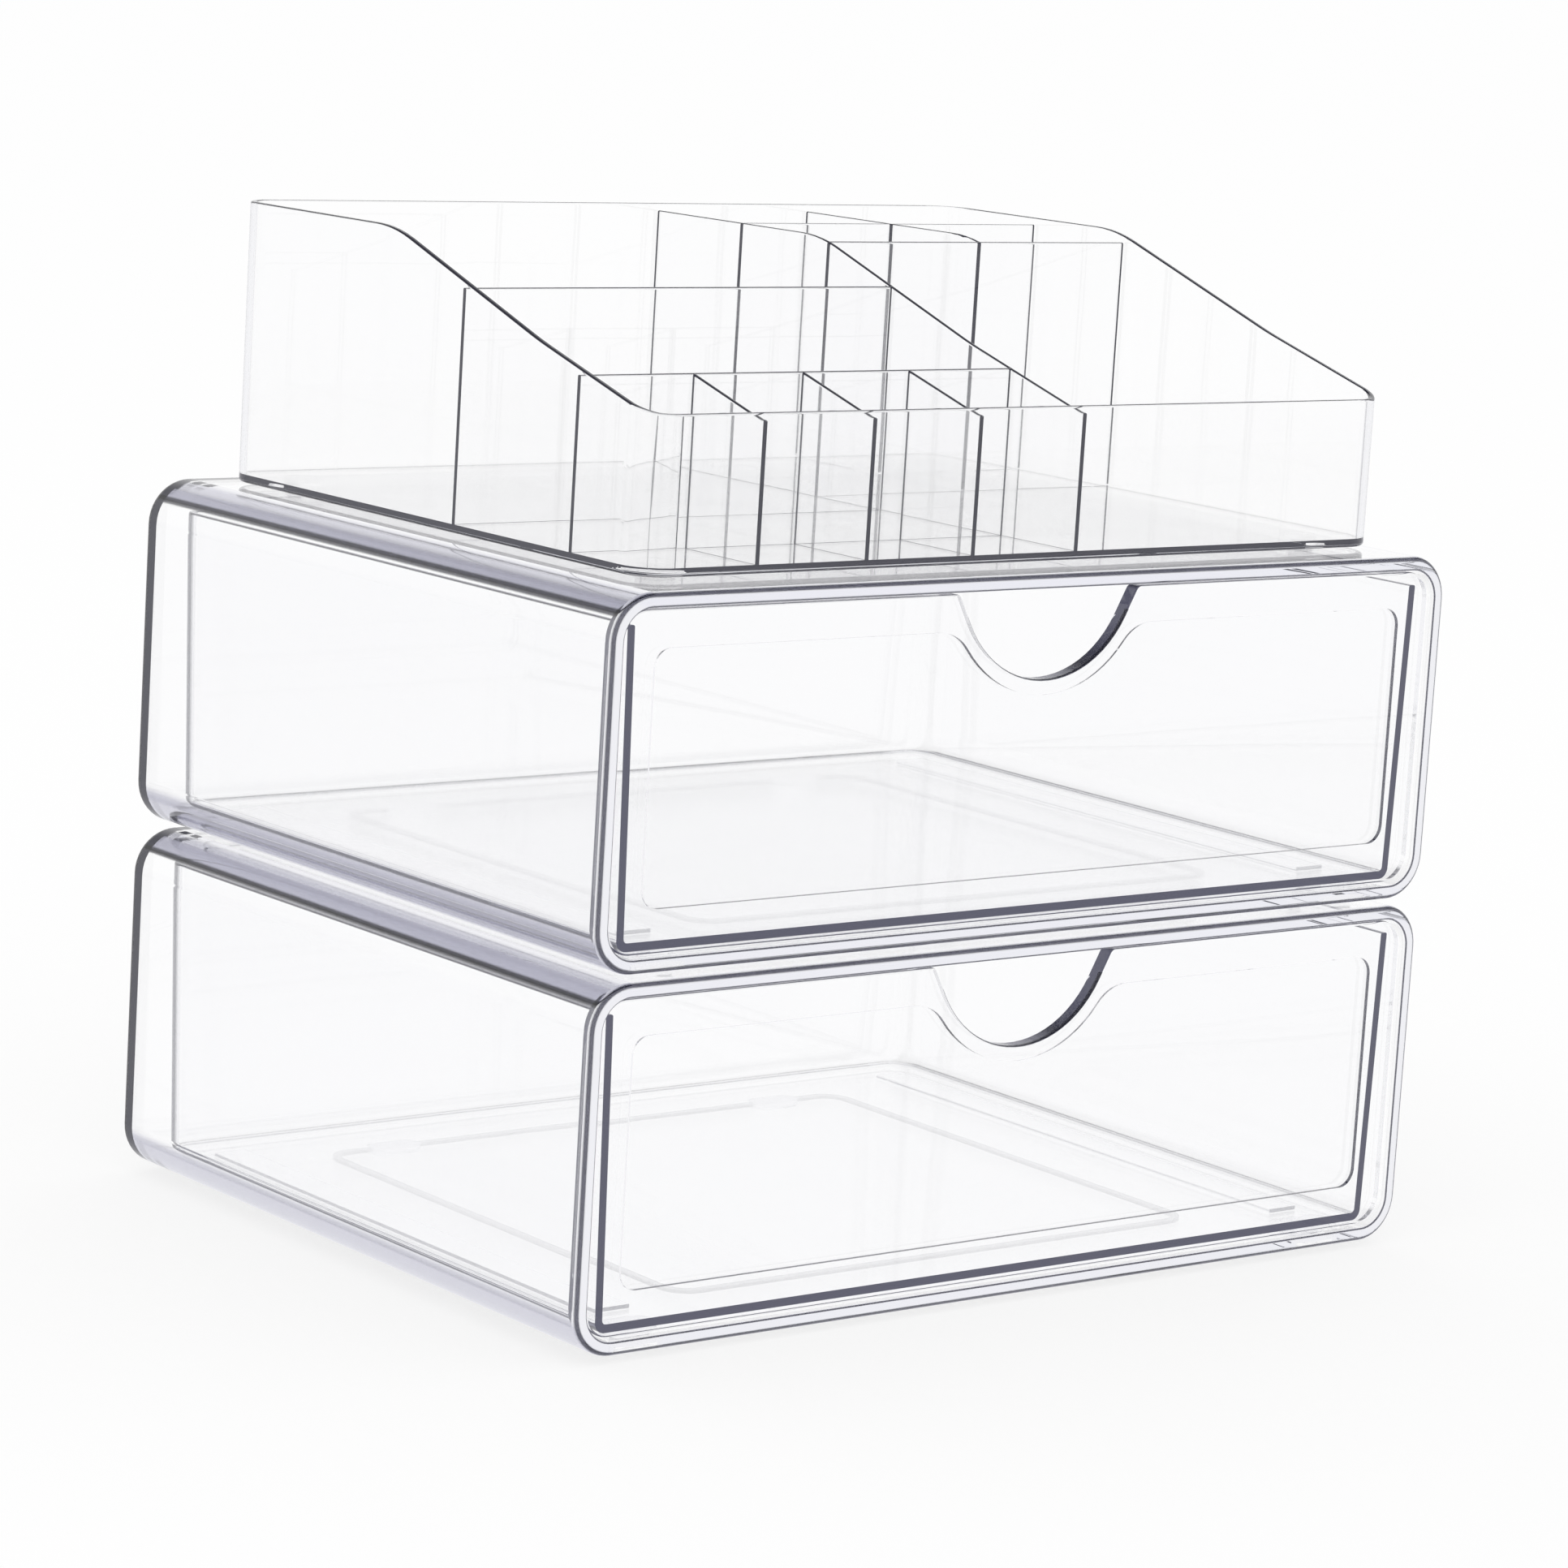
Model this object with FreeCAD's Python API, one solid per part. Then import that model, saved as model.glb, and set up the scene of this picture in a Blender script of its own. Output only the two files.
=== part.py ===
import FreeCAD, Part
import math
import os

from FreeCAD import Vector

# A clear vanity organizer: two stacked drawer units with a divided tray on top.
# Lengths are millimetres. X runs to the right, Y to the back and Z up.
# The origin is on the table, under the middle of the casings.

# Casing: a rounded sleeve, open in front and closed at the back
casing_width = 280.0
casing_depth = 215.0
casing_height = 94.4
casing_wall = 3.8
casing_corner_radius = 12.0
casing_front_round = 1.6
casing_back_round = 3.0
casing_lip_round = 0.6

# Stiffening bead under the casing's floor, a rounded rectangle seen from below
bead_side_inset = 51.5
bead_end_inset = 28.5
bead_corner_radius = 8.0
bead_thickness = 2.2
bead_height = 0.9

# Bumper feet: soft pads with round ends, seated in pockets under the casing
foot_length = 16.0
foot_width = 8.0
foot_proud = 1.8
foot_pocket_depth = 0.6
foot_clearance = 0.2
foot_edge_bevel = 0.5
front_foot_side_inset = 24.0
front_foot_end_inset = 12.0
back_foot_side_inset = 75.0

# Gap left where one loose unit stands on another
seat_gap = 0.1

# Drawer front: a thick frame round a thinner window, with a finger notch in its top edge
front_gap = 0.7
front_recess = 2.0
front_thickness = 4.0
front_edge_round = 0.6
window_depth = 1.2
window_side_margin = 10.3
window_bottom_margin = 11.1
window_top_margin = 9.6
window_corner_radius = 5.0
notch_width = 59.9
notch_depth = 23.2
notch_side_angle = 62.0
notch_lip_radius = 2.0
notch_band = 4.0
notch_band_sweep = 12.0

# Drawer box behind the front, drawn in towards its floor
drawer_wall = 2.2
drawer_floor = 2.2
drawer_side_setback = 3.0
drawer_draft = 1.9
drawer_side_drop = 3.9
drawer_back_gap = 2.7
drawer_back_corner_radius = 10.0
drawer_bottom_round = 3.0
drawer_inside_round = 1.2
drawer_rim_round = 0.6
drawer_floor_lift = 1.2

# Skids moulded under the drawer's floor
skid_width = 9.6
skid_side_inset = 16.0
skid_end_inset = 14.0
skid_gap = 0.2

# Tray: high at the back, sweeping down to a low front
tray_width = 249.0
tray_depth = 190.6
tray_back_height = 76.3
tray_bend_height = 54.0
tray_front_height = 41.0
tray_shoulder_from_front = 115.0
tray_bend_from_front = 48.5
tray_toe_from_front = 2.5
tray_shoulder_radius = 50.0
tray_bend_radius = 150.0
tray_toe_radius = 8.0
tray_corner_radius = 10.0
tray_wall = 1.8
tray_floor = 2.2
tray_bottom_round = 1.0
tray_rim_round = 0.6
tray_shift_x = 3.0
tray_shift_y = 2.0

# Low pads moulded under the tray
tray_pad_radius = 5.0
tray_pad_height = 0.8
tray_pad_inset = 16.0

# Tray compartments, given as clear widths and depths
partition_thickness = 1.3
partition_drop = 2.0
partition_rim_round = 0.5
left_bay_width = 138.0
front_row_depth = 28.9
middle_row_depth = 49.9
back_cell_depth = 37.9
front_row_cells = 4
back_rows = 2

# How far cutting tools run past the faces that they cut
overcut = 5.0

# Points nearer to each other than this count as one place
same_place = Part.Precision.approximation()

# Degrees by which a face leans back from upright before it counts as a top face
level_limit = 10.0


def flat(z):
    """Place a plan outline's points at height z."""
    return lambda u, v: Vector(u, v, z)


def upright(y):
    """Place a front view outline's points at depth y."""
    return lambda u, v: Vector(u, y, v)


def sideways(x):
    """Place a side view outline's points at x."""
    return lambda u, v: Vector(x, u, v)


def rounded_outline(corners, place):
    """Closed wire through (u, v, radius) corners, each rounded by an arc of its radius."""
    count = len(corners)
    starts, middles, ends = [], [], []
    for i, (u, v, radius) in enumerate(corners):
        before = corners[i - 1]
        after = corners[(i + 1) % count]
        here = Vector(u, v, 0)
        back = (Vector(before[0], before[1], 0) - here).normalize()
        ahead = (Vector(after[0], after[1], 0) - here).normalize()
        half_angle = back.getAngle(ahead) / 2
        reach = radius / math.tan(half_angle)
        inward = (back + ahead).normalize()
        starts.append(here + back * reach)
        middles.append(here + inward * (radius / math.sin(half_angle) - radius))
        ends.append(here + ahead * reach)
    edges = []
    for i in range(count):
        if corners[i][2] > 0:
            arc = [place(p.x, p.y) for p in (starts[i], middles[i], ends[i])]
            edges.append(Part.Arc(*arc).toShape())
        gap_end = starts[(i + 1) % count]
        if (gap_end - ends[i]).Length > same_place:
            line = [place(p.x, p.y) for p in (ends[i], gap_end)]
            edges.append(Part.LineSegment(*line).toShape())
    return Part.Wire(edges)


def rounded_rectangle(u0, u1, v0, v1, radius, place):
    """Closed wire of a rectangle whose four corners have one radius."""
    corners = [(u0, v0, radius), (u1, v0, radius), (u1, v1, radius), (u0, v1, radius)]
    return rounded_outline(corners, place)


def prism(wire, direction):
    """Solid swept from a closed flat wire along a direction."""
    return Part.Face(wire).extrude(direction)


def box_between(low, high):
    """Solid box between two corner points."""
    size = high - low
    return Part.makeBox(size.x, size.y, size.z, low)


def edges_on_plane(shape, axis, value):
    """Edges of a shape whose ends and middle all lie on one plane across an axis."""
    found = []
    for edge in shape.Edges:
        middle = edge.valueAt((edge.FirstParameter + edge.LastParameter) / 2)
        points = [vertex.Point for vertex in edge.Vertexes] + [middle]
        if all(abs(getattr(p, axis) - value) < same_place for p in points):
            found.append(edge)
    return found


def rim_edges(shape, height):
    """Edges round the top faces of upright walls, for the faces that lie wholly above a height."""
    def faces_up(face):
        u0, u1, v0, v1 = face.ParameterRange
        return abs(face.normalAt((u0 + u1) / 2, (v0 + v1) / 2).z) > math.sin(math.radians(level_limit))

    tops = [face for face in shape.Faces if face.BoundBox.ZMin > height and faces_up(face)]
    edges = [edge for face in tops for edge in face.Edges]
    return [edge for edge in edges if sum(edge.isSame(other) for other in edges) == 1]


# Places that the pieces share, measured from the casing's own floor and middle
front_y = -casing_depth / 2
back_y = casing_depth / 2
opening_half_width = casing_width / 2 - casing_wall
opening_top = casing_height - casing_wall
opening_radius = casing_corner_radius - casing_wall
cavity_back = back_y - casing_wall
bead_half_width = casing_width / 2 - bead_side_inset
bead_half_depth = casing_depth / 2 - bead_end_inset
front_foot_x = casing_width / 2 - front_foot_side_inset
back_foot_x = casing_width / 2 - back_foot_side_inset
foot_places = {
    "front_left": (-front_foot_x, front_y + front_foot_end_inset),
    "front_right": (front_foot_x, front_y + front_foot_end_inset),
    "back_left": (-back_foot_x, bead_half_depth - bead_thickness / 2),
    "back_right": (back_foot_x, bead_half_depth - bead_thickness / 2),
}


def foot_outline(x, y, growth, z):
    """Plan outline of a foot with round ends, grown all round by a clearance."""
    length = foot_length / 2 + growth
    width = foot_width / 2 + growth
    return rounded_rectangle(x - length, x + length, y - width, y + width, width, flat(z))


def make_casing():
    """Sleeve with round corners, a closed back, a bead under its floor and pockets for the feet."""
    outside = prism(
        rounded_rectangle(-casing_width / 2, casing_width / 2, 0, casing_height,
                          casing_corner_radius, upright(front_y)),
        Vector(0, casing_depth, 0))
    outside = outside.makeFillet(casing_front_round, edges_on_plane(outside, "y", front_y))
    outside = outside.makeFillet(casing_back_round, edges_on_plane(outside, "y", back_y))
    cavity = prism(
        rounded_rectangle(-opening_half_width, opening_half_width, casing_wall, opening_top,
                          opening_radius, upright(front_y - overcut)),
        Vector(0, cavity_back - front_y + overcut, 0))
    casing = outside.cut(cavity)
    rim = min(casing.Faces, key=lambda face: face.BoundBox.YMax)
    mouth = [wire for wire in rim.Wires if not wire.isSame(rim.OuterWire)]
    casing = casing.makeFillet(casing_lip_round, mouth[0].Edges)
    bead_sink = casing_wall / 2
    bead_outer = rounded_rectangle(-bead_half_width, bead_half_width, -bead_half_depth, bead_half_depth,
                                   bead_corner_radius, flat(-bead_height))
    bead_inner = rounded_rectangle(-bead_half_width + bead_thickness, bead_half_width - bead_thickness,
                                   -bead_half_depth + bead_thickness, bead_half_depth - bead_thickness,
                                   bead_corner_radius - bead_thickness, flat(-bead_height))
    rise = Vector(0, 0, bead_height + bead_sink)
    casing = casing.fuse(prism(bead_outer, rise).cut(prism(bead_inner, rise)))
    for x, y in foot_places.values():
        pocket = foot_outline(x, y, foot_clearance, -overcut)
        casing = casing.cut(prism(pocket, Vector(0, 0, overcut + foot_pocket_depth)))
    return casing.removeSplitter()


def make_foot(x, y):
    """Soft pad that fills its pocket's depth and stands proud below it."""
    pad = prism(foot_outline(x, y, 0, -foot_proud), Vector(0, 0, foot_proud + foot_pocket_depth))
    return pad.makeChamfer(foot_edge_bevel, edges_on_plane(pad, "z", -foot_proud))


# Places on the drawer, in the casing's frame
panel_half_width = opening_half_width - front_gap
panel_bottom = casing_wall + front_gap
panel_top = opening_top - front_gap
panel_radius = opening_radius - front_gap
panel_face = front_y + front_recess
panel_back = panel_face + front_thickness
box_half_width = panel_half_width - drawer_side_setback
box_bottom = casing_wall + drawer_floor_lift
box_top = panel_top - drawer_side_drop
box_back = cavity_back - drawer_back_gap
notch_slope = math.tan(math.radians(notch_side_angle))
notch_point = panel_top - notch_width / 2 * notch_slope
notch_spread = 1 / math.cos(math.radians(notch_side_angle)) - 1
notch_radius = (panel_top - notch_depth - notch_point) / notch_spread
notch_centre = panel_top - notch_depth + notch_radius


def window_outline(y):
    """Outline of the window: a rounded rectangle whose top edge sweeps round the notch."""
    place = upright(y)
    side = panel_half_width - window_side_margin
    bottom = panel_bottom + window_bottom_margin
    top = panel_top - window_top_margin
    round_notch = notch_radius + notch_band
    sweep_height = top - notch_band_sweep
    sweep_x = math.sqrt((round_notch + notch_band_sweep) ** 2 - (notch_centre - sweep_height) ** 2)
    lean = math.atan2(sweep_height - notch_centre, sweep_x)

    def arc(u, v, radius, first, last):
        angles = (first, (first + last) / 2, last)
        points = [place(u + radius * math.cos(a), v + radius * math.sin(a)) for a in angles]
        return Part.Arc(*points).toShape()

    def line(u0, v0, u1, v1):
        return Part.LineSegment(place(u0, v0), place(u1, v1)).toShape()

    r = window_corner_radius
    quarter = math.pi / 2
    return Part.Wire([
        arc(-side + r, bottom + r, r, 2 * quarter, 3 * quarter),
        line(-side + r, bottom, side - r, bottom),
        arc(side - r, bottom + r, r, -quarter, 0),
        line(side, bottom + r, side, top - r),
        arc(side - r, top - r, r, 0, quarter),
        line(side - r, top, sweep_x, top),
        arc(sweep_x, sweep_height, notch_band_sweep, quarter, 2 * quarter + lean),
        arc(0, notch_centre, round_notch, lean, -2 * quarter - lean),
        arc(-sweep_x, sweep_height, notch_band_sweep, -lean, quarter),
        line(-sweep_x, top, -side + r, top),
        line(-side, top - r, -side, bottom + r),
        arc(-side + r, top - r, r, quarter, 2 * quarter),
    ])


def drawer_plan(inset, z, spread, y_front):
    """Plan of the drawer's box at height z, with a square front and two round back corners."""
    half = box_half_width - inset + spread
    back = box_back - inset + spread
    radius = drawer_back_corner_radius - inset
    corners = [(-half, y_front, 0), (half, y_front, 0), (half, back, radius), (-half, back, radius)]
    return rounded_outline(corners, flat(z))


def behind(shape, z, y_front):
    """Edges of the drawer's box at height z, apart from those in its open front plane."""
    return [edge for edge in edges_on_plane(shape, "z", z) if edge.CenterOfMass.y > y_front + same_place]


def make_drawer():
    """Thick front with a window and a finger notch, and a box behind it that tapers to its floor."""
    corner = panel_radius
    half_notch = notch_width / 2
    outline = rounded_outline([
        (-panel_half_width, panel_bottom, corner),
        (panel_half_width, panel_bottom, corner),
        (panel_half_width, panel_top, corner),
        (half_notch, panel_top, notch_lip_radius),
        (0, notch_point, notch_radius),
        (-half_notch, panel_top, notch_lip_radius),
        (-panel_half_width, panel_top, corner),
    ], upright(panel_face))
    panel = prism(outline, Vector(0, front_thickness, 0))
    panel = panel.makeFillet(front_edge_round, edges_on_plane(panel, "y", panel_face))
    window = prism(window_outline(panel_face - overcut), Vector(0, overcut + window_depth, 0))
    panel = panel.cut(window)

    box_front = panel_back - front_thickness / 4
    wall_height = box_top - box_bottom
    draft_per_height = drawer_draft / wall_height
    inside_floor = box_bottom + drawer_floor
    inside_front = box_front - overcut
    outside = Part.makeLoft([
        drawer_plan(0, box_bottom, -drawer_draft, box_front),
        drawer_plan(0, box_top, 0, box_front)], True, True)
    outside = outside.makeFillet(drawer_bottom_round, behind(outside, box_bottom, box_front))
    inside = Part.makeLoft([
        drawer_plan(drawer_wall, inside_floor, -draft_per_height * (box_top - inside_floor), inside_front),
        drawer_plan(drawer_wall, box_top + overcut, draft_per_height * overcut, inside_front)], True, True)
    inside = inside.makeFillet(drawer_inside_round, behind(inside, inside_floor, inside_front))
    box = outside.cut(inside)
    box = box.makeFillet(drawer_rim_round, behind(box, box_top, box_front))
    drawer = panel.fuse(box)

    skid_x = box_half_width - drawer_draft - skid_side_inset
    skid_low = casing_wall + skid_gap
    skid_high = box_bottom + drawer_floor / 2
    skid_front = panel_back + skid_end_inset
    skid_back = box_back - drawer_draft - skid_end_inset
    for x in (-skid_x, skid_x):
        drawer = drawer.fuse(box_between(
            Vector(x - skid_width / 2, skid_front, skid_low),
            Vector(x + skid_width / 2, skid_back, skid_high)))
    return drawer.removeSplitter()


def tray_profile(drop):
    """Side view of all that lies above the tray's walls, lowered by a drop for the partitions."""
    above = tray_back_height + overcut
    before = -overcut - tray_toe_radius
    behind = tray_depth + overcut
    return rounded_outline([
        (before, tray_front_height - drop, 0),
        (tray_toe_from_front, tray_front_height - drop, tray_toe_radius),
        (tray_bend_from_front, tray_bend_height - drop, tray_bend_radius),
        (tray_shoulder_from_front, tray_back_height - drop, tray_shoulder_radius),
        (behind, tray_back_height - drop, 0),
        (behind, above, 0),
        (before, above, 0),
    ], sideways(-overcut))


def make_tray():
    """Moulded tray: a floor on low pads, swept side walls and partitions cut to the same sweep."""
    inner_right = tray_width - tray_wall
    inner_back = tray_depth - tray_wall
    floor_top = tray_pad_height + tray_floor
    height = Vector(0, 0, tray_back_height - tray_pad_height)
    across = Vector(tray_width + 2 * overcut, 0, 0)
    outer = rounded_rectangle(0, tray_width, 0, tray_depth, tray_corner_radius, flat(tray_pad_height))
    inner = rounded_rectangle(tray_wall, inner_right, tray_wall, inner_back,
                              tray_corner_radius - tray_wall, flat(floor_top))
    tray = prism(outer, height)
    tray = tray.makeFillet(tray_bottom_round, edges_on_plane(tray, "z", tray_pad_height))
    tray = tray.cut(prism(inner, height)).cut(prism(tray_profile(0), across))
    tray = tray.makeFillet(tray_rim_round, rim_edges(tray, floor_top))

    seat = tray_wall / 2
    half = partition_thickness / 2
    middle_x = tray_wall + left_bay_width + half
    row_b_y = tray_wall + front_row_depth + half
    row_a_y = row_b_y + partition_thickness + middle_row_depth
    back_pitch = back_cell_depth + partition_thickness
    last_row_y = inner_back + half - back_rows * back_pitch
    split_x = (middle_x + half + inner_right) / 2
    cell_pitch = (left_bay_width + partition_thickness) / front_row_cells

    root = floor_top - seat
    above = prism(tray_profile(partition_drop), across)

    def partition(low, high, axis):
        wall = box_between(low, high).cut(above)
        sides = [edges_on_plane(wall, axis, getattr(corner, axis)) for corner in (low, high)]
        rims = [edge for side in sides for edge in side if edge.BoundBox.ZMin > floor_top]
        return wall.makeFillet(partition_rim_round, rims)

    def wall_across(y, x0, x1):
        return partition(Vector(x0, y - half, root), Vector(x1, y + half, tray_back_height), "y")

    def wall_along(x, y0, y1):
        return partition(Vector(x - half, y0, root), Vector(x + half, y1, tray_back_height), "x")

    partitions = [
        wall_along(middle_x, seat, tray_depth - seat),
        wall_along(split_x, last_row_y, tray_depth - seat),
        wall_across(row_a_y, seat, middle_x),
        wall_across(row_b_y, seat, middle_x),
    ]
    for row in range(back_rows):
        partitions.append(wall_across(last_row_y + row * back_pitch, middle_x, tray_width - seat))
    for cell in range(1, front_row_cells):
        partitions.append(wall_along(tray_wall - half + cell * cell_pitch, seat, row_b_y))
    tray = tray.multiFuse(partitions)

    pad_x = (tray_pad_inset, tray_width - tray_pad_inset)
    pad_y = (tray_pad_inset, tray_depth - tray_pad_inset)
    for x in pad_x:
        for y in pad_y:
            pad = Part.makeCylinder(tray_pad_radius, tray_pad_height + tray_floor / 2, Vector(x, y, 0))
            tray = tray.fuse(pad)
    return tray.removeSplitter()


def write_part(name, shape, place):
    """Write one piece, moved to its place, as a single solid."""
    piece = shape.copy()
    piece.translate(place)
    solids = piece.Solids
    print(name, "solids", len(solids), "valid", piece.isValid(), "volume", round(piece.Volume, 1))
    solids[0].exportStep("parts/" + name + ".step")


# Heights at which the units stand
lower_height = foot_proud
upper_height = lower_height + casing_height + seat_gap + foot_proud
tray_height = upper_height + casing_height + seat_gap

os.makedirs("parts", exist_ok=True)
casing = make_casing()
drawer = make_drawer()
for unit, height in (("lower", lower_height), ("upper", upper_height)):
    place = Vector(0, 0, height)
    write_part(unit + "_casing", casing, place)
    write_part(unit + "_drawer", drawer, place)
    for corner, (x, y) in foot_places.items():
        write_part(unit + "_foot_" + corner, make_foot(x, y), place)
tray_place = Vector(tray_shift_x - tray_width / 2, tray_shift_y - tray_depth / 2, tray_height)
write_part("top_tray", make_tray(), tray_place)
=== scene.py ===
# %% [markdown]
# A clear vanity organizer, dressed for a photograph.
#
# The object is a stack of three loose units: two drawer units and a divided tray, all moulded in
# clear plastic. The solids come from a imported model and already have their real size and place, so
# this lesson is about looking through them: a camera, a bright set, and a plastic that bends light.

# %% Load the model
import math

import bpy
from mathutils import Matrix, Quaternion, Vector


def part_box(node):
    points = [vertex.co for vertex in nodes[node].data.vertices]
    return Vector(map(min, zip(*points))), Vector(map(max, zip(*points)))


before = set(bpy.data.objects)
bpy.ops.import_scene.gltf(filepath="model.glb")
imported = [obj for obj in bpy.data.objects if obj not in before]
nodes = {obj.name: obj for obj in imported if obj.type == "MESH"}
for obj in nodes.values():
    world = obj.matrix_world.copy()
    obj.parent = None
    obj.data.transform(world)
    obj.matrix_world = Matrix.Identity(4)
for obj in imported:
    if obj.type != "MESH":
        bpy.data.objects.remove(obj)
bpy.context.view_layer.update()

# %% [markdown]
# The camera stands a little to the left and a little above the object, far away with a long lens, so
# that upright edges stay nearly parallel. The camera could be aimed by a constraint, but a direction
# worked out from two angles can be read as the photographer would say it. A small roll follows,
# because the photographed stack leans over by a few degrees.

# %% Place the camera
view_azimuth = math.radians(-38.51)
view_elevation = math.radians(9.94)
view_roll = math.radians(3.505)
view_distance = 1.4614
view_aim = Vector((-0.0012, -0.0024, 0.1195))
lens_length = 123.1

view_forward = Vector((
    -math.sin(view_azimuth) * math.cos(view_elevation),
    math.cos(view_azimuth) * math.cos(view_elevation),
    -math.sin(view_elevation),
))
camera_data = bpy.data.cameras.new("photo_camera")
camera_data.lens = lens_length
camera = bpy.data.objects.new("photo_camera", camera_data)
camera.location = view_aim - view_forward * view_distance
camera.rotation_mode = "QUATERNION"
camera.rotation_quaternion = view_forward.to_track_quat("-Z", "Y") @ Quaternion((0, 0, 1), view_roll)
bpy.context.scene.collection.objects.link(camera)
bpy.context.scene.camera = camera
print("camera at", [round(v, 3) for v in camera.location])

# %% [markdown]
# Every finish below is a small tree of nodes. Nodes could be made and wired in two passes, but then the
# wires stand far from the nodes they belong to. These helpers do both at once: a plain value is set on the
# named input, and the output of an earlier node is wired to it. So a tree reads from its start to its end.

# %% Helpers for node trees
white = (1, 1, 1, 1)


def feed(tree, socket, value):
    """Give an input a plain value, or wire another node's output to it."""
    if isinstance(value, bpy.types.NodeSocket):
        tree.links.new(value, socket)
    else:
        socket.default_value = value


def put(tree, kind, group=None, **values):
    """Add a node of a kind to a tree, a node group among them, and feed its named inputs."""
    made = tree.nodes.new("ShaderNode" + kind)
    if group:
        made.node_tree = group
    for name, value in values.items():
        feed(tree, made.inputs[name.replace("_", " ")], value)
    return made


def work_out(tree, operation, *values):
    """Add a Math node on up to three values and return its result."""
    made = tree.nodes.new("ShaderNodeMath")
    made.operation = operation
    for socket, value in zip(made.inputs, values):
        feed(tree, socket, value)
    return made.outputs[0]


def blend_shaders(tree, factor, first, second):
    """Mix two shaders and return the mixture."""
    made = tree.nodes.new("ShaderNodeMixShader")
    for socket, value in zip(made.inputs, (factor, first, second)):
        feed(tree, socket, value)
    return made.outputs[0]


def blend_colours(tree, factor, first, second, kind="MIX"):
    """Mix two colours and return the mixture."""
    made = put(tree, "MixRGB", Fac=factor, Color1=first, Color2=second)
    made.blend_type = kind
    return made.outputs["Color"]


def split(tree, vector):
    """Take a vector apart into outputs named X, Y and Z."""
    return put(tree, "SeparateXYZ", Vector=vector).outputs


def spread(tree, value, low, high, smooth=False):
    """Bring a value from the range between low and high to the range between 0 and 1."""
    made = put(tree, "MapRange", Value=value, From_Min=low, From_Max=high)
    made.interpolation_type = "SMOOTHSTEP" if smooth else "LINEAR"
    return made.outputs["Result"]


def new_material(name):
    """Make a material with an empty node tree and return it with its tree."""
    material = bpy.data.materials.new(name)
    material.use_nodes = True
    material.node_tree.nodes.clear()
    return material, material.node_tree


def new_group(name, inputs, outputs):
    """Make a shader node group with named sockets and return its tree, its start and its end."""
    tree = bpy.data.node_groups.new(name, "ShaderNodeTree")
    for in_out, sockets in (("INPUT", inputs), ("OUTPUT", outputs)):
        for socket_name, kind in sockets:
            tree.interface.new_socket(socket_name, in_out=in_out, socket_type="NodeSocket" + kind)
    return tree, tree.nodes.new("NodeGroupInput").outputs, tree.nodes.new("NodeGroupOutput").inputs


print("helpers ready")

# %% [markdown]
# Clear plastic has almost no colour of its own. It is drawn by what it bends light towards, so the set
# matters more than the lamps. Photographers use a bright field: a white ground straight behind the
# object, and dark surroundings that only stray light reaches.
#
# The floor is a wide pale sheet just under the feet. It could be a curved sweep, but a flat sheet that is
# lit as brightly as the sky meets it with no line. The camera sees the sheet itself, with the object's
# soft shadow. Rays that come through the plastic see it as evenly white, and rays that were mirrored on
# the way as a little darker, as they would see the grey ends of a real sheet.

# %% Lay the floor
floor_half = 30.0
floor_drop = 0.0002
floor_lift = 0.8
floor_mirrored = (0.92, 0.92, 0.94, 1)

floor_mesh = bpy.data.meshes.new("floor")
floor_mesh.from_pydata(
    [(-floor_half, -floor_half, -floor_drop), (floor_half, -floor_half, -floor_drop),
     (floor_half, floor_half, -floor_drop), (-floor_half, floor_half, -floor_drop)],
    [], [(0, 1, 2, 3)])
floor = bpy.data.objects.new("floor", floor_mesh)
bpy.context.scene.collection.objects.link(floor)


def build_floor_paper():
    """White paper that keeps the shadow, and an even white for rays that come through plastic."""
    material, tree = new_material("floor_paper")
    path = put(tree, "LightPath").outputs
    paper = put(tree, "BsdfDiffuse", Color=white).outputs[0]
    lift = put(tree, "Emission", Color=white, Strength=1).outputs[0]
    lifted = blend_shaders(tree, floor_lift, paper, lift)
    colour = blend_colours(tree, path["Glossy Depth"], white, floor_mirrored)
    glow = put(tree, "Emission", Color=colour, Strength=1).outputs[0]
    through = work_out(tree, "MAXIMUM", path["Is Transmission Ray"], path["Is Glossy Ray"])
    put(tree, "OutputMaterial", Surface=blend_shaders(tree, through, lifted, glow))
    return material


floor.data.materials.append(build_floor_paper())
print("floor", floor_half * 2, "m wide")

# %% [markdown]
# The sky around the set is plain white for the camera and for the paper that it lights. Rays that
# leave the plastic find white near the horizon and a dark ceiling above it, as they would in a studio
# whose lamps are flagged off. The ceiling draws the lines along level edges. It could be a black card
# over the set, but a card would also shade the paper.

# %% Light the sky
sky_strength = 0.95
ceiling_colour = (0.03, 0.03, 0.05, 1)
horizon_top = math.sin(math.radians(24))
ceiling_from = math.sin(math.radians(46))


def build_sky():
    """White sky, with a dark ceiling that only rays from the plastic see."""
    world = bpy.data.worlds.new("bright_sky")
    world.use_nodes = True
    tree = world.node_tree
    tree.nodes.clear()
    path = put(tree, "LightPath").outputs
    up = split(tree, put(tree, "TexCoord").outputs["Generated"])["Z"]
    height = spread(tree, up, horizon_top, ceiling_from, smooth=True)
    plain = put(tree, "Background", Color=white, Strength=sky_strength).outputs[0]
    bright = put(tree, "Background", Color=white, Strength=1).outputs[0]
    roofed = put(
        tree, "Background", Color=blend_colours(tree, height, white, ceiling_colour), Strength=1).outputs[0]
    through = work_out(tree, "MAXIMUM", path["Is Transmission Ray"], path["Is Glossy Ray"])
    seen = blend_shaders(tree, path["Is Camera Ray"], plain, bright)
    put(tree, "OutputWorld", Surface=blend_shaders(tree, through, seen, roofed))
    return world


bpy.context.scene.world = build_sky()
print("sky strength", sky_strength)

# %% [markdown]
# One broad lamp above and to the left gives the shadow a direction. It is soft and weak, because the
# sky already lights the paper to nearly white.

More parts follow.
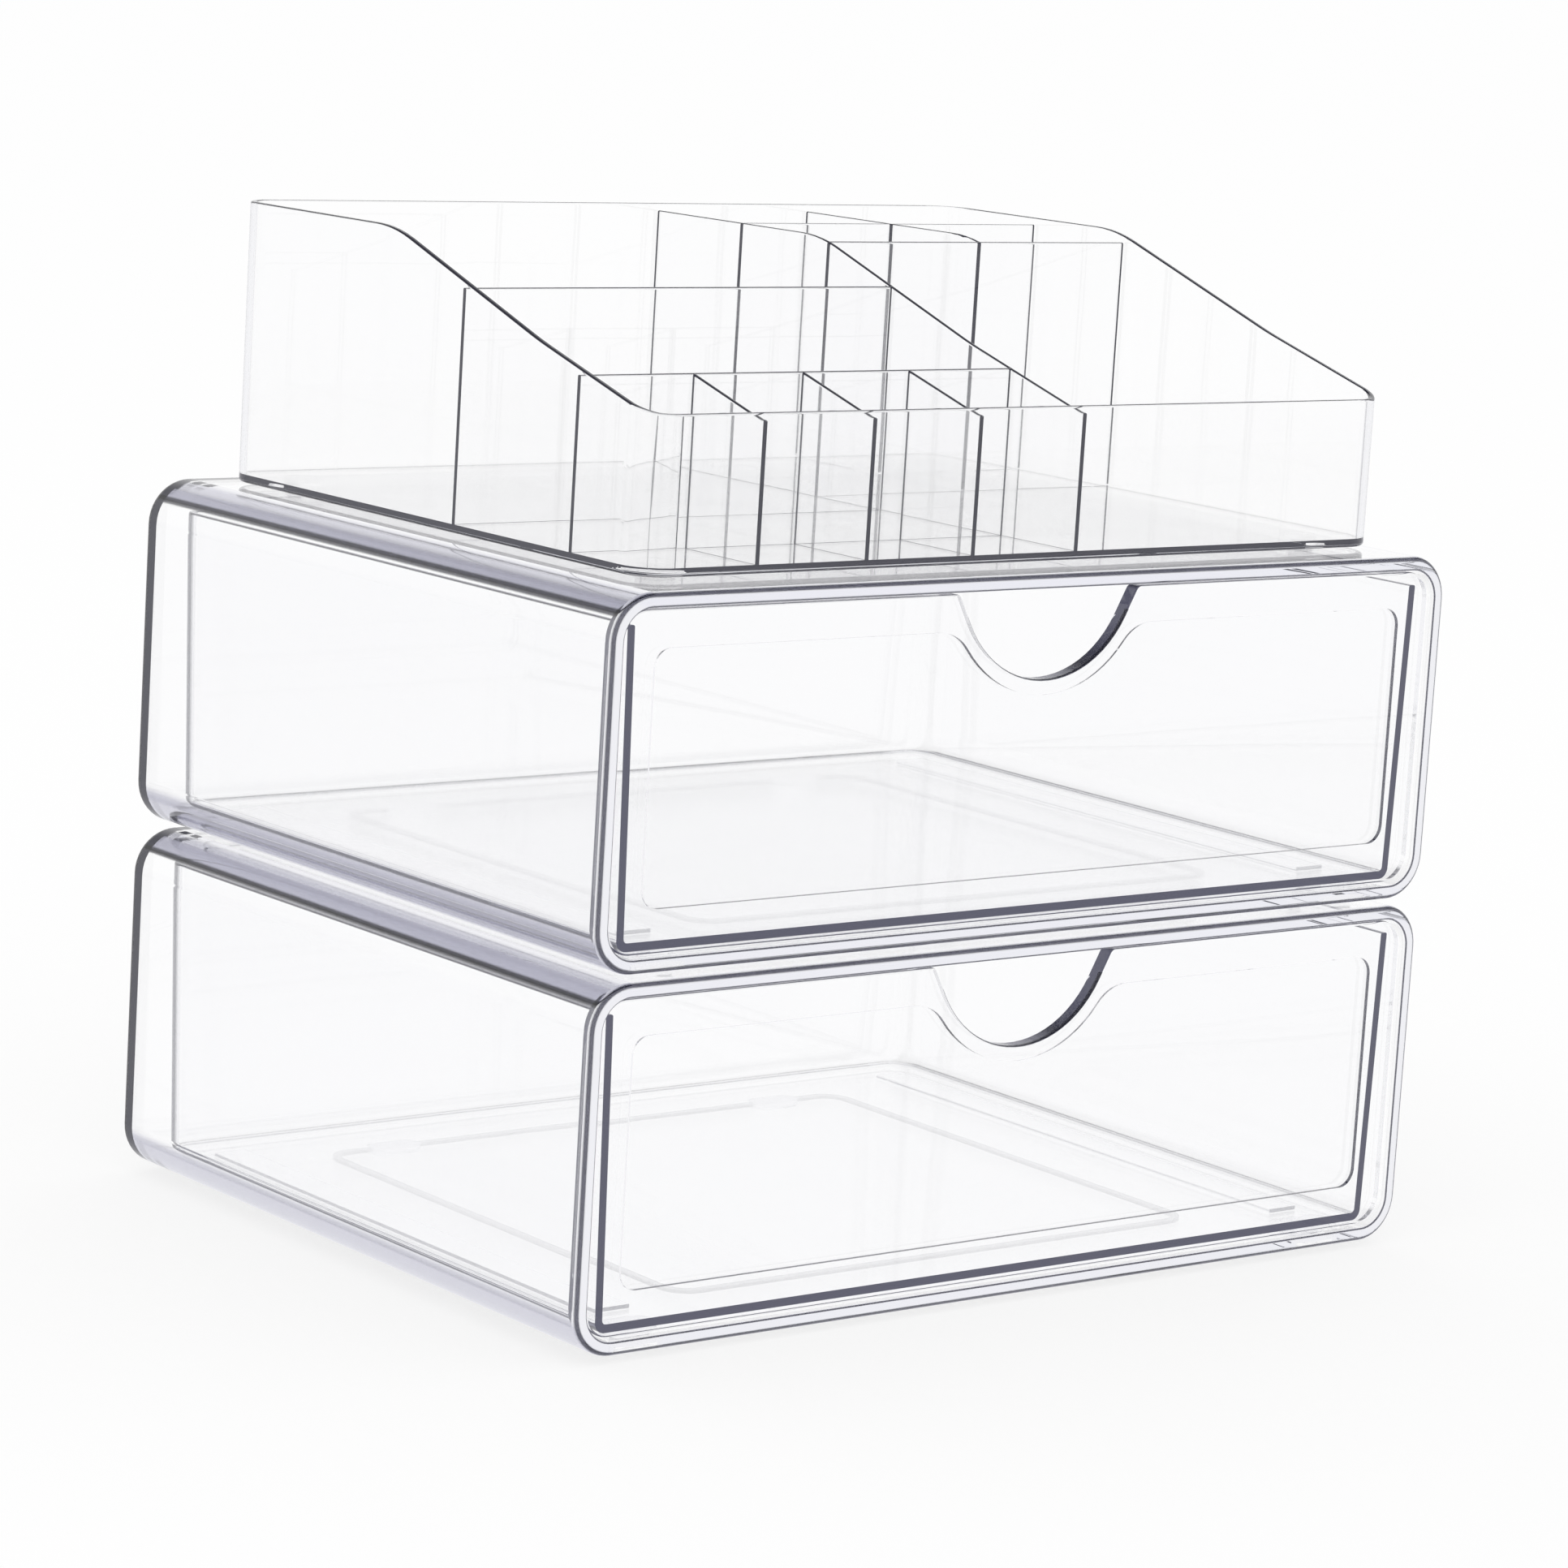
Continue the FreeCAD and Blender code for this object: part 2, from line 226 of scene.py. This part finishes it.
# %% Hang the lamp
lamp_size = 1.6
lamp_power = 4.0
lamp_place = Vector((-1.1, -0.9, 1.9))

lamp_data = bpy.data.lights.new("soft_lamp", "AREA")
lamp_data.size = lamp_size
lamp_data.energy = lamp_power
lamp = bpy.data.objects.new("soft_lamp", lamp_data)
lamp.location = lamp_place
lamp.rotation_mode = "QUATERNION"
lamp.rotation_quaternion = (view_aim - lamp_place).to_track_quat("-Z", "Y")
bpy.context.scene.collection.objects.link(lamp)
print("lamp", lamp_power, "W")

# %% [markdown]
# Moulded plastic is never perfectly flat. It cools unevenly, so its polished skin has a long, shallow
# waviness, and it carries a breath of haze where it was handled. Both could be painted maps. A noise
# at the scale of the real thing needs no map and has no seams, and since all mouldings and the feet
# share it, it is a node group.

# %% Group for a moulded skin
smudge_scale = 30.0
smudge_from = 0.45
smudge_to = 0.75


def build_moulded_skin():
    """Node group: roughness with faint haze, and a height for the skin's shallow waves."""
    tree, start, end = new_group(
        "moulded_skin",
        (("Place", "Vector"), ("Haze", "Float"), ("Wave Scale", "Float")),
        (("Roughness", "Float"), ("Height", "Float")))
    waves = put(tree, "TexNoise", Vector=start["Place"], Scale=start["Wave Scale"], Detail=1.0)
    smudge = put(tree, "TexNoise", Vector=start["Place"], Scale=smudge_scale, Detail=3.0)
    patches = spread(tree, smudge.outputs[0], smudge_from, smudge_to)
    feed(tree, end["Roughness"], work_out(tree, "MULTIPLY", patches, start["Haze"]))
    feed(tree, end["Height"], waves.outputs[0])
    return tree


moulded_skin = build_moulded_skin()
print("group", moulded_skin.name)

# %% [markdown]
# Every edge of a moulding is rounded, so that it fills well and leaves the mould. Where a rounding is
# seen at a slant, it bends light far away from the white ground, and is darker than the flat walls
# beside it. Here that darkness is painted shade in the base colour. The flats of these mouldings face
# along the three axes. So a face whose normal leans away from all three is a rounding, and a small group
# can find it without any painted map. How much it is seen at a slant is asked in each material, by a
# Layer Weight node. A casing's rims are the fillets round its open front and its back, so their normals
# lean to the front or the back, and they have a painted shade of their own. A colour ramp over the
# normal's Y says how much of it. Both painted shades are left out where light leaves the plastic
# through a rounding, or the far ends of long walls would be grey too.

# %% Group for round edges
flat_from = 0.995
round_from = 0.90
slant_from = 0.40
slant_to = 0.65
rim_stops = (
    (-0.995, 0), (-0.95, 1), (-0.60, 1), (-0.30, 0), (0.03, 0), (0.12, 1), (0.55, 1), (0.75, 0),
)


def lean_ramp(tree, lean, stops):
    """Colour ramp over one part of a normal, from stops between -1 and 1 and their colours."""
    ramp = put(tree, "ValToRGB", Fac=spread(tree, lean, -1, 1))
    elements = ramp.color_ramp.elements
    while len(elements) < len(stops):
        elements.new(1.0)
    for element, (value, colour) in zip(elements, stops):
        element.position = (value + 1) / 2
        element.color = colour
    return ramp.outputs["Color"]


def build_round_edges():
    """Node group: white on flat faces, one painted shade on roundings seen at a slant and one on rims."""
    tree, start, end = new_group(
        "round_edges",
        (("Lean", "Vector"), ("Slant", "Float"), ("Outer", "Float"),
         ("Tint", "Color"), ("Rim Tint", "Color")),
        (("Color", "Color"),))
    absolute = put(tree, "VectorMath")
    absolute.operation = "ABSOLUTE"
    feed(tree, absolute.inputs[0], start["Lean"])
    along = split(tree, absolute.outputs[0])
    most = work_out(tree, "MAXIMUM", work_out(tree, "MAXIMUM", along["X"], along["Y"]), along["Z"])
    rounding = spread(tree, most, flat_from, round_from, smooth=True)
    slanted = spread(tree, start["Slant"], slant_from, slant_to, smooth=True)
    outside = work_out(tree, "MULTIPLY", rounding, start["Outer"])
    shade = blend_colours(tree, work_out(tree, "MULTIPLY", outside, slanted), white, start["Tint"])
    greys = [(lean, (much, much, much, 1)) for lean, much in rim_stops]
    ramp = lean_ramp(tree, split(tree, start["Lean"])["Y"], greys)
    rim = work_out(tree, "MULTIPLY", ramp, start["Outer"])
    feed(tree, end["Color"], blend_colours(tree, rim, shade, start["Rim Tint"]))
    return tree


round_edges = build_round_edges()
print("group", round_edges.name)

# %% [markdown]
# The plastic itself is clear styrene. It bends light more than acrylic does, and over a long way
# through it light turns a cold lavender: across a wall that can't be seen, along a wall it can. A
# tinted surface would colour thin and thick alike, so the tint is an absorption inside the solid. The
# drawers were moulded from a bluer batch. The casings take painted shade on their rims and leave their
# other roundings clear; the drawers and the tray do it the other way round.

# %% Make the clear plastics
styrene_ior = 1.58
casing_tint = (0.60, 0.63, 0.88, 1)
casing_density = 0.8
drawer_tint = (0.40, 0.43, 0.70, 1)
drawer_density = 2.0
# Painted shade on roundings seen at a slant, and on a casing's rims.
thin_edge_painted_shade = (0.06, 0.06, 0.08, 1)
casing_rim_painted_shade = (0.02, 0.02, 0.03, 1)
slant_blend = 0.6


def clear_plastic(name, haze, wave_scale, wave_depth, tint, density, edge_painted_shade, rim_painted_shade):
    """Clear moulded plastic with a waved skin, painted shade on its roundings, and an absorption that tints
    long ways through it.
    """
    material, tree = new_material(name)
    place = put(tree, "TexCoord").outputs
    skin = put(
        tree, "Group", moulded_skin, Place=place["Object"], Haze=haze, Wave_Scale=wave_scale).outputs
    slant = put(tree, "LayerWeight", Blend=slant_blend).outputs["Facing"]
    outer = work_out(tree, "SUBTRACT", 1.0, put(tree, "NewGeometry").outputs["Backfacing"])
    # The round_edges group paints shade into the base colour of roundings and rims.
    edges = put(
        tree, "Group", round_edges, Lean=place["Normal"], Slant=slant, Outer=outer,
        Tint=edge_painted_shade, Rim_Tint=rim_painted_shade)
    bump = put(tree, "Bump", Strength=1.0, Distance=wave_depth, Height=skin["Height"])
    body = put(
        tree, "BsdfPrincipled", Transmission_Weight=1.0, IOR=styrene_ior, Base_Color=edges.outputs["Color"],
        Roughness=skin["Roughness"], Normal=bump.outputs["Normal"])
    inside = put(tree, "VolumeAbsorption", Color=tint, Density=density)
    put(tree, "OutputMaterial", Surface=body.outputs["BSDF"], Volume=inside.outputs["Volume"])
    return material


casing_plastic = clear_plastic(
    "casing_plastic", haze=0.02, wave_scale=18.0, wave_depth=0.00004, tint=casing_tint,
    density=casing_density, edge_painted_shade=white, rim_painted_shade=casing_rim_painted_shade)
drawer_plastic = clear_plastic(
    "drawer_plastic", haze=0.03, wave_scale=22.0, wave_depth=0.00004, tint=drawer_tint,
    density=drawer_density, edge_painted_shade=thin_edge_painted_shade, rim_painted_shade=white)
tray_plastic = clear_plastic(
    "tray_plastic", haze=0.03, wave_scale=26.0, wave_depth=0.00003, tint=casing_tint,
    density=casing_density, edge_painted_shade=thin_edge_painted_shade, rim_painted_shade=white)
print("plastics", casing_plastic.name, drawer_plastic.name, tray_plastic.name)

# %% [markdown]
# Under each casing's floor runs a low bead, moulded as a rounded rectangle. Its sides turn light aside,
# so it shows through the clear floor as a faint grey ring, drawn here as painted shade on its faces.
# Both casings share one plastic, so the bead is found by its height, counted from the foot of the
# stack and again from the foot of the upper casing.

# %% Paint shade on the bead under the casings
bead_painted_shade = (0.35, 0.35, 0.37, 1)
bead_height = 0.0009
bead_reach = 0.00005

bead_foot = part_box("lower_casing")[0][2]
stack_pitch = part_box("upper_casing")[0][2] - bead_foot


def base_colour(material):
    """Return a material's tree, its Base Color input and what is wired to it so far."""
    tree = material.node_tree
    socket = tree.nodes["Principled BSDF"].inputs["Base Color"]
    return tree, socket, socket.links[0].from_socket


def paint_bead_shade(material):
    """Paint shade on the faces of a casing that lie no higher than the bead under its floor."""
    tree, socket, clear = base_colour(material)
    point = split(tree, put(tree, "TexCoord").outputs["Object"])
    lift = work_out(tree, "SUBTRACT", point["Z"], bead_foot - bead_reach)
    level = work_out(tree, "FLOORED_MODULO", lift, stack_pitch)
    low = work_out(tree, "LESS_THAN", level, bead_height)
    feed(tree, socket, blend_colours(tree, low, clear, bead_painted_shade))


paint_bead_shade(casing_plastic)
print("bead foot", round(bead_foot, 4), "pitch", round(stack_pitch, 4))

# %% [markdown]
# The long edges of a casing's sleeve are broad roundings. On the real thing each shows as a lavender
# band, because light that enters it is caught in the roof or the floor, and the upper band ends in a dark
# line where the wall turns plain again. A ramp over the normal's Z paints both on a rounding as painted
# shade. It is kept to the outer faces: there a point and its normal lie on the same side of the middle.

# %% Paint shade on the casings' long roundings
band_painted_shade = (0.47, 0.47, 0.56, 1)
line_painted_shade = (0.010, 0.010, 0.014, 1)
band_shade_stops = (
    (-0.99, white), (-0.96, band_painted_shade), (-0.30, band_painted_shade), (-0.10, white), (0.55, white),
    (0.59, line_painted_shade), (0.65, line_painted_shade), (0.69, band_painted_shade), (0.96, band_painted_shade), (0.99, white),
)


def shade_sleeve(material):
    """Paint shade on the outer long roundings of a casing by how far their normals lean up or down."""
    tree, socket, clear = base_colour(material)
    place = put(tree, "TexCoord").outputs
    point = split(tree, place["Object"])
    lean = split(tree, place["Normal"])
    outer = work_out(tree, "GREATER_THAN", work_out(tree, "MULTIPLY", point["X"], lean["X"]), 0.0)
    bands = lean_ramp(tree, lean["Z"], band_shade_stops)
    feed(tree, socket, blend_colours(tree, outer, clear, bands, "MULTIPLY"))


shade_sleeve(casing_plastic)
print("band stops", len(band_shade_stops))

# %% [markdown]
# Each drawer's front is a thick frame round a thinner window. The low step between them is drawn as a
# grey line on the real thing. It could be a painted line, but the step is there in the solid, so its
# faces are found by how deep they lie behind the front and take a painted shade.

# %% Shade the step round the windows
step_painted_shade = (0.03, 0.03, 0.04, 1)
step_depth = 0.0012
step_spare = 0.00005
step_inset = 0.006

drawer_low, drawer_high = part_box("lower_drawer")
step_zone = (
    ("X", 0.0, drawer_high[0] - step_inset),
    ("Y", drawer_low[1] + step_depth / 2, step_depth / 2 - step_spare),
    ("Z", (drawer_low[2] + drawer_high[2]) / 2, (drawer_high[2] - drawer_low[2]) / 2 - step_inset),
)


def shade_steps(material):
    """Paint shade on the faces of a drawer that lie in the low step between its frame and its window."""
    tree, socket, clear = base_colour(material)
    point = split(tree, put(tree, "TexCoord").outputs["Object"])
    level = work_out(tree, "FLOORED_MODULO", point["Z"], stack_pitch)
    within = 1.0
    for axis, middle, reach in step_zone:
        value = level if axis == "Z" else point[axis]
        near = work_out(tree, "COMPARE", value, middle, reach)
        within = work_out(tree, "MULTIPLY", within, near)
    feed(tree, socket, blend_colours(tree, within, clear, step_painted_shade))


shade_steps(drawer_plastic)
print("steps", [[axis, round(middle, 4), round(reach, 4)] for axis, middle, reach in step_zone])

# %% [markdown]
# A drawer's back corners are round in plan. Seen through the casing's side, such a corner turns out of
# sight, and on the real thing it is a soft dark line down the corner. A studio would draw it with a black
# card beside the object. The sky is white all round here, so the corner takes a painted shade where its
# normal leans to the back, and only where light enters it from outside.

# %% Shade the drawers' back corners
corner_painted_shade = (0.06, 0.06, 0.07, 1)
corner_from = 0.01
corner_full = 0.14
corner_to = 0.70


def shade_corners(material):
    """Paint shade on the round back corners of a drawer, where light enters them from outside."""
    tree, socket, clear = base_colour(material)
    lean = split(tree, put(tree, "TexCoord").outputs["Normal"])
    turned = spread(tree, lean["Y"], corner_from, corner_full)
    corner = work_out(tree, "MULTIPLY", turned, work_out(tree, "LESS_THAN", lean["Y"], corner_to))
    outer = work_out(tree, "SUBTRACT", 1.0, put(tree, "NewGeometry").outputs["Backfacing"])
    feed(tree, socket, blend_colours(tree, work_out(tree, "MULTIPLY", corner, outer), clear, corner_painted_shade))


shade_corners(drawer_plastic)
print("corners from", corner_from, "to", corner_to)

# %% [markdown]
# Light that enters a round edge is caught between a wall's two faces, like light in a glass fibre, and
# comes out at the wall's far edge with the colour of the long way through it. The casings' edges are pale,
# those of the drawers nearly navy, and those of the tray's partitions dark. Following such light for
# dozens of mirrorings shows as dots along the edges. So each material ends it: once a ray inside the
# plastic has been mirrored more often than a free count, the inner face that it meets glows with the edge
# colour, a painted light for the pale edges and a painted shade for the dark ones. A casing's back wall
# has dark edges, so its colour changes behind a given Y. The count and the side of the face are asked in
# the material itself.

# %% Give the walls their painted edge glow
back_wall = 0.004
back_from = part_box("lower_casing")[1][1] - back_wall
dark_edge_glow = (0.045, 0.045, 0.06, 1)
navy_edge_glow = (0.09, 0.09, 0.13, 1)
pale_edge_glow = (0.88, 0.88, 0.91, 1)
casing_free = 3.5
drawer_free = 7.5
tray_free = 3.5


def casing_edge_glow(material):
    """Painted edge glow of a casing: pale, and dark in its back wall."""
    tree = material.node_tree
    point = split(tree, put(tree, "TexCoord").outputs["Object"])
    behind = work_out(tree, "GREATER_THAN", point["Y"], back_from)
    return blend_colours(tree, behind, pale_edge_glow, dark_edge_glow)


def end_caught_light(material, edge_glow_colour, free):
    """Let inner faces glow with a painted edge colour for rays mirrored more often than a free count."""
    tree = material.node_tree
    body = tree.nodes["Principled BSDF"].outputs["BSDF"]
    many = work_out(tree, "GREATER_THAN", put(tree, "LightPath").outputs["Glossy Depth"], free)
    caught = work_out(tree, "MULTIPLY", many, put(tree, "NewGeometry").outputs["Backfacing"])
    edge = put(tree, "Emission", Color=edge_glow_colour, Strength=1).outputs["Emission"]
    feed(tree, tree.nodes["Material Output"].inputs["Surface"], blend_shaders(tree, caught, body, edge))
    print(material.name, "edges after", free, "mirrorings")


end_caught_light(casing_plastic, casing_edge_glow(casing_plastic), casing_free)
end_caught_light(drawer_plastic, navy_edge_glow, drawer_free)
end_caught_light(tray_plastic, dark_edge_glow, tray_free)

# %% [markdown]
# The bumper feet are a soft clear plastic. They show through the floors as pale pads, so they are
# nearly as clear as the casing, with a little more haze. They are too small for waves in their skin.

# %% Make the soft feet
foot_ior = 1.42
foot_haze = 0.03


def soft_clear(name):
    """Hazy soft plastic for the bumper feet."""
    material, tree = new_material(name)
    place = put(tree, "TexCoord").outputs["Object"]
    skin = put(tree, "Group", moulded_skin, Place=place, Haze=foot_haze)
    body = put(
        tree, "BsdfPrincipled", Base_Color=white, Transmission_Weight=1.0, IOR=foot_ior,
        Roughness=skin.outputs["Roughness"])
    put(tree, "OutputMaterial", Surface=body.outputs["BSDF"])
    return material


soft_feet = soft_clear("soft_feet")
print("feet", soft_feet.name)

# %% [markdown]
# Each piece of the model now takes its plastic. The pieces keep their shapes: only the material in
# their first slot changes.

# %% Dress the pieces
finish_by_word = {
    "casing": casing_plastic,
    "drawer": drawer_plastic,
    "tray": tray_plastic,
    "foot": soft_feet,
}
for name, piece in nodes.items():
    word = next(word for word in finish_by_word if word in name)
    piece.data.materials.clear()
    piece.data.materials.append(finish_by_word[word])
print("dressed", len(nodes), "pieces")

# %% [markdown]
# A ray that looks through the whole stack crosses more than twenty faces, and some rays are mirrored many
# times between the pieces. The limits on bounces are raised, so that neither is cut off on the way and
# left black.

# %% Let light through many walls
wall_crossings = 128
mirrorings = 96
light = bpy.context.scene.cycles
light.max_bounces = wall_crossings
light.transmission_bounces = wall_crossings
light.glossy_bounces = mirrorings
bpy.context.scene.view_settings.view_transform = "Standard"
print("bounces", light.max_bounces, "mirrorings", light.glossy_bounces)
